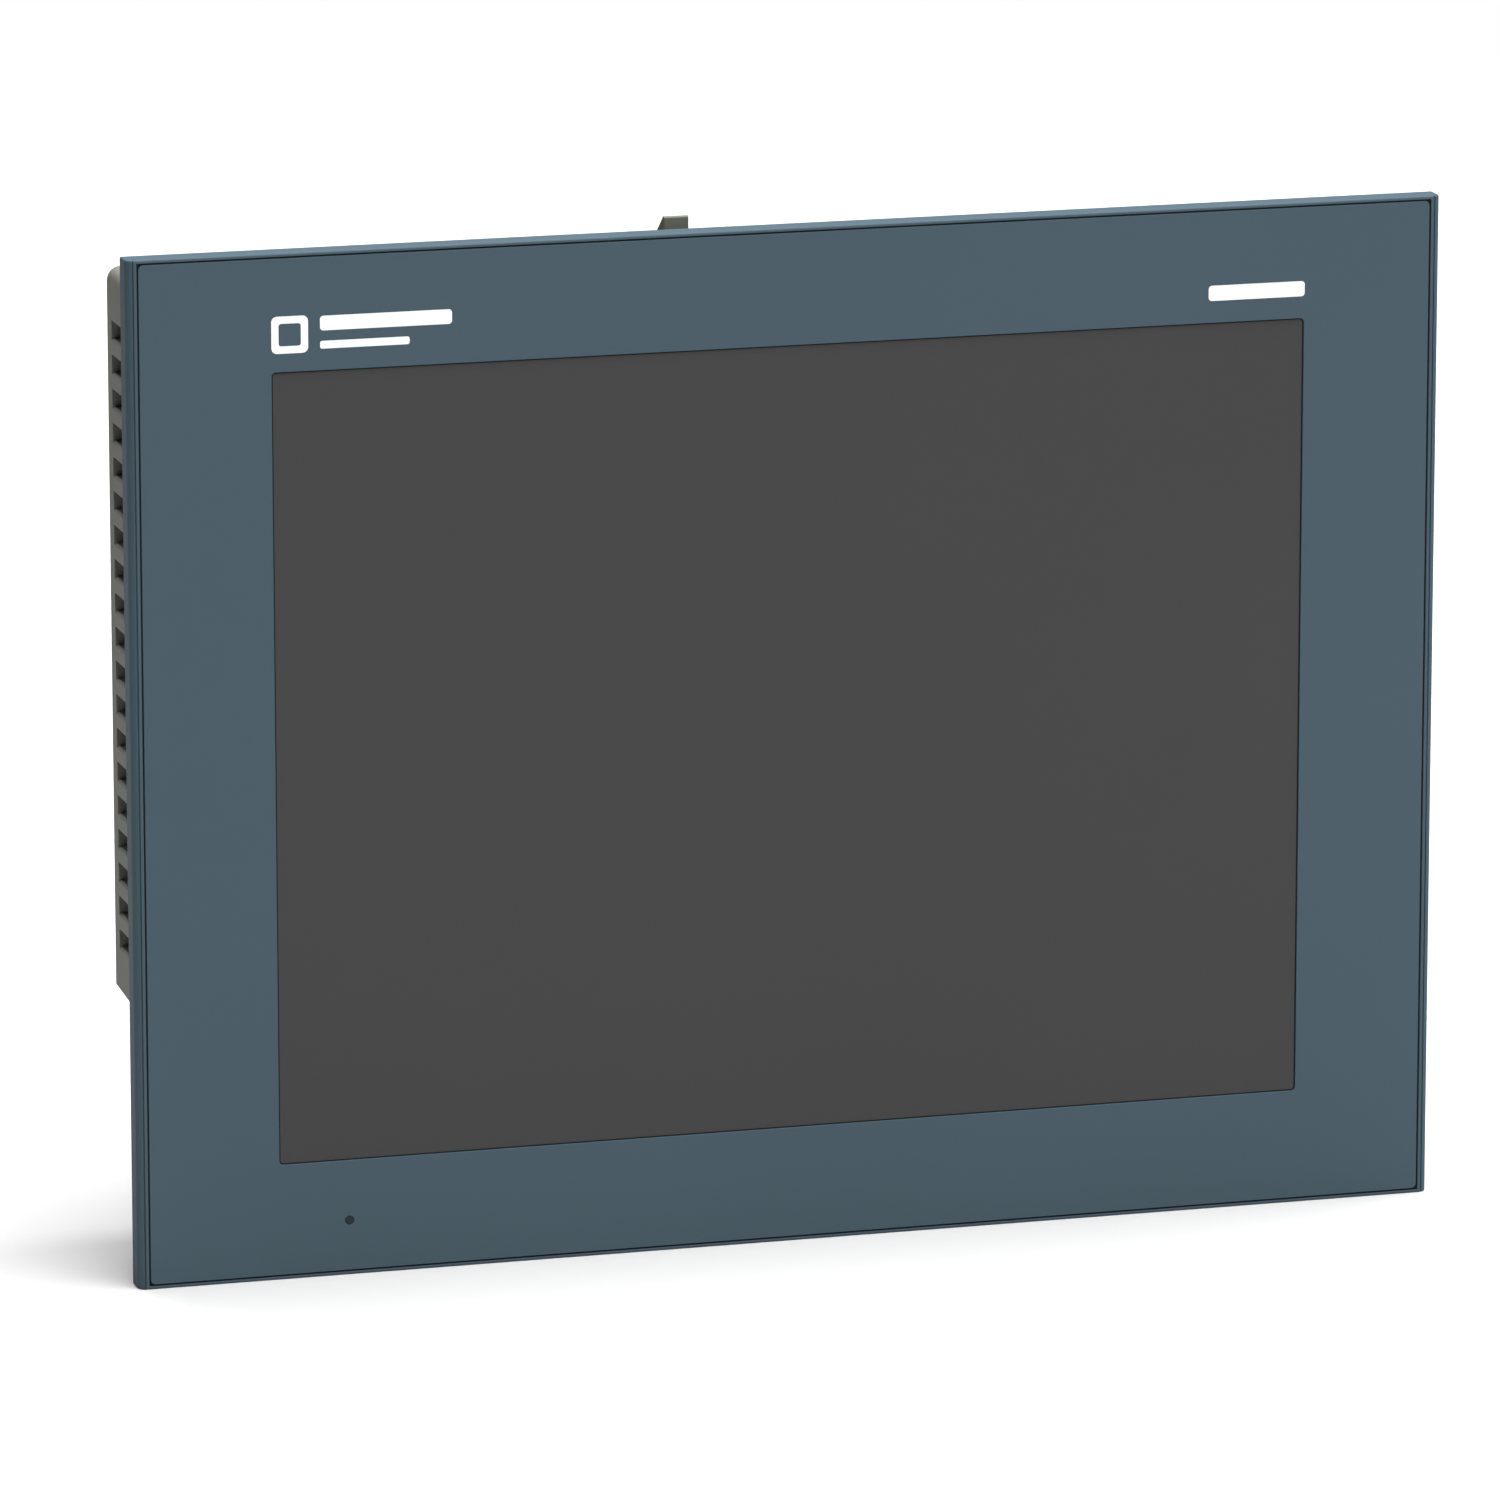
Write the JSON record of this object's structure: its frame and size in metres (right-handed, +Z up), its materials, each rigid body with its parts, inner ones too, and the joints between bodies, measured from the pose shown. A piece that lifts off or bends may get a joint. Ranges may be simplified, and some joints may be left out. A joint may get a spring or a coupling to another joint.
{
  "type": "panel-mounted touch operator panel",
  "caption": "Flat rectangular operator panel with a dark touch display in a slate bezel, a vented housing behind it, a spring hook, a hinged card door and wire terminals.",
  "frame": {"origin": "centre of the seating plane, the rear face of the door gasket", "axes": "screen faces -Y, housing points to +Y, +Z up, +X to the viewer's right"},
  "size_m": [0.315, 0.056, 0.2428],
  "materials": {
    "bezel": "fine satin paint",
    "overlay": "matte printed film, slate blue",
    "screen": "matte dark touch film",
    "clear_glass": "clear sheet",
    "foam": "closed-cell foam",
    "gasket_rubber": "moulded rubber",
    "plated_steel": "zinc plated sheet",
    "cell_glass": "dark display glass",
    "white_film": "white diffusing film",
    "acrylic": "clear acrylic",
    "led_strip": "white solder mask with lamps",
    "black_plastic": "moulded, lightly textured",
    "flat_cable": "amber polyimide film",
    "lamp_plastic": "smoked clear",
    "housing": "moulded, fine spark texture, warm grey",
    "hook_plastic": "moulded, olive grey",
    "screw_steel": "zinc plated",
    "brass": "turned",
    "board": "green solder mask",
    "chip": "moulded epoxy",
    "sink": "anodised",
    "can": "drawn can",
    "ferrite": "sintered ferrite",
    "battery_steel": "polished can",
    "socket_steel": "tinned shell",
    "terminal_green": "moulded, green",
    "spring_steel": "drawn wire",
    "label": "silver film, blank",
    "button_plastic": "moulded"
  },
  "bodies": {
    "panel": {"bezel_frame": "bezel", "front_overlay": "overlay", "touch_film": "screen", "touch_glass": "clear_glass", "touch_gasket": "foam", "touch_tail": "flat_cable", "lcd_front_frame": "plated_steel", "lcd_cell": "cell_glass", "optical_sheets": "white_film", "light_guide": "acrylic", "backlight_strips": "led_strip", "lcd_rear_tray": "plated_steel", "lcd_cushions": "foam", "lcd_cable": "flat_cable", "status_light_pipe": "lamp_plastic", "status_led": "led_strip", "status_board": "board", "panel_gasket": "gasket_rubber", "chassis_plate": "plated_steel", "chassis_screws": "screw_steel", "main_board": "board", "board_standoffs": "brass", "board_screws": "screw_steel", "processor": "chip", "heat_sink": "sink", "memory_chips": "chip", "filter_capacitors": "can", "power_inductors": "ferrite", "battery_holder": "black_plastic", "backup_battery": "battery_steel", "serial_port": "socket_steel", "serial_jackscrews": "screw_steel", "serial_jack": "black_plastic", "lan_port_1": "socket_steel", "lan_port_2": "socket_steel", "usb_host_ports": "socket_steel", "usb_device_port": "socket_steel", "reset_switch": "black_plastic", "expansion_connector": "black_plastic", "expansion_cover": "housing", "expansion_cover_screws": "screw_steel", "card_socket": "socket_steel", "card_door_pin": "screw_steel", "power_terminal_block": "terminal_green", "terminal_contacts": "brass", "hook_pin": "screw_steel", "hook_spring": "spring_steel", "rear_cover": "housing", "rear_cover_screws": "screw_steel", "earth_screw": "screw_steel", "rating_label": "label"},
    "hook": {"panel_hook": "hook_plastic"},
    "card_door": {"card_door": "housing"},
    "reset_button": {"reset_button": "button_plastic"},
    "terminal_screw_1": {"terminal_screw_1": "screw_steel"},
    "wire_clamp_1": {"wire_clamp_1": "plated_steel"},
    "terminal_screw_2": {"terminal_screw_2": "screw_steel"},
    "wire_clamp_2": {"wire_clamp_2": "plated_steel"},
    "terminal_screw_3": {"terminal_screw_3": "screw_steel"},
    "wire_clamp_3": {"wire_clamp_3": "plated_steel"}
  },
  "joints": [
    {"name": "hook_swing", "type": "hinge", "parent": "panel", "child": "hook", "pos_m": [-0.0248, 0.038, 0.1034], "axis": [1, 0, 0], "range_deg": [0, 17], "stiffness_Nm_per_rad": 0.12, "springref_deg": -14.32, "deforming": ["hook_spring"]},
    {"name": "card_door_hinge", "type": "hinge", "parent": "panel", "child": "card_door", "pos_m": [0.1486, 0.043, -0.028], "axis": [0, 0, 1], "range_deg": [0, 95]},
    {"name": "reset_press", "type": "slide", "parent": "panel", "child": "reset_button", "axis": [0, 0, 1], "range_m": [0, 0.0005], "stiffness_N_per_m": 2500, "springref_m": -0.0004},
    {"name": "terminal_screw_1_turn", "type": "hinge", "parent": "panel", "child": "terminal_screw_1", "pos_m": [0.0888, 0.042, -0.0757], "axis": [0, 1, 0], "range_deg": [0, 1440]},
    {"name": "wire_clamp_1_rise", "type": "slide", "parent": "panel", "child": "wire_clamp_1", "axis": [0, 1, 0], "range_m": [0, 0.002]},
    {"name": "terminal_screw_2_turn", "type": "hinge", "parent": "panel", "child": "terminal_screw_2", "pos_m": [0.097, 0.042, -0.0757], "axis": [0, 1, 0], "range_deg": [0, 1440]},
    {"name": "wire_clamp_2_rise", "type": "slide", "parent": "panel", "child": "wire_clamp_2", "axis": [0, 1, 0], "range_m": [0, 0.002]},
    {"name": "terminal_screw_3_turn", "type": "hinge", "parent": "panel", "child": "terminal_screw_3", "pos_m": [0.1052, 0.042, -0.0757], "axis": [0, 1, 0], "range_deg": [0, 1440]},
    {"name": "wire_clamp_3_rise", "type": "slide", "parent": "panel", "child": "wire_clamp_3", "axis": [0, 1, 0], "range_m": [0, 0.002]}
  ],
  "couplings": [
    {"joint": "terminal_screw_1_turn", "follows": "wire_clamp_1_rise", "rad_per_m": 12566},
    {"joint": "terminal_screw_2_turn", "follows": "wire_clamp_2_rise", "rad_per_m": 12566},
    {"joint": "terminal_screw_3_turn", "follows": "wire_clamp_3_rise", "rad_per_m": 12566}
  ]
}
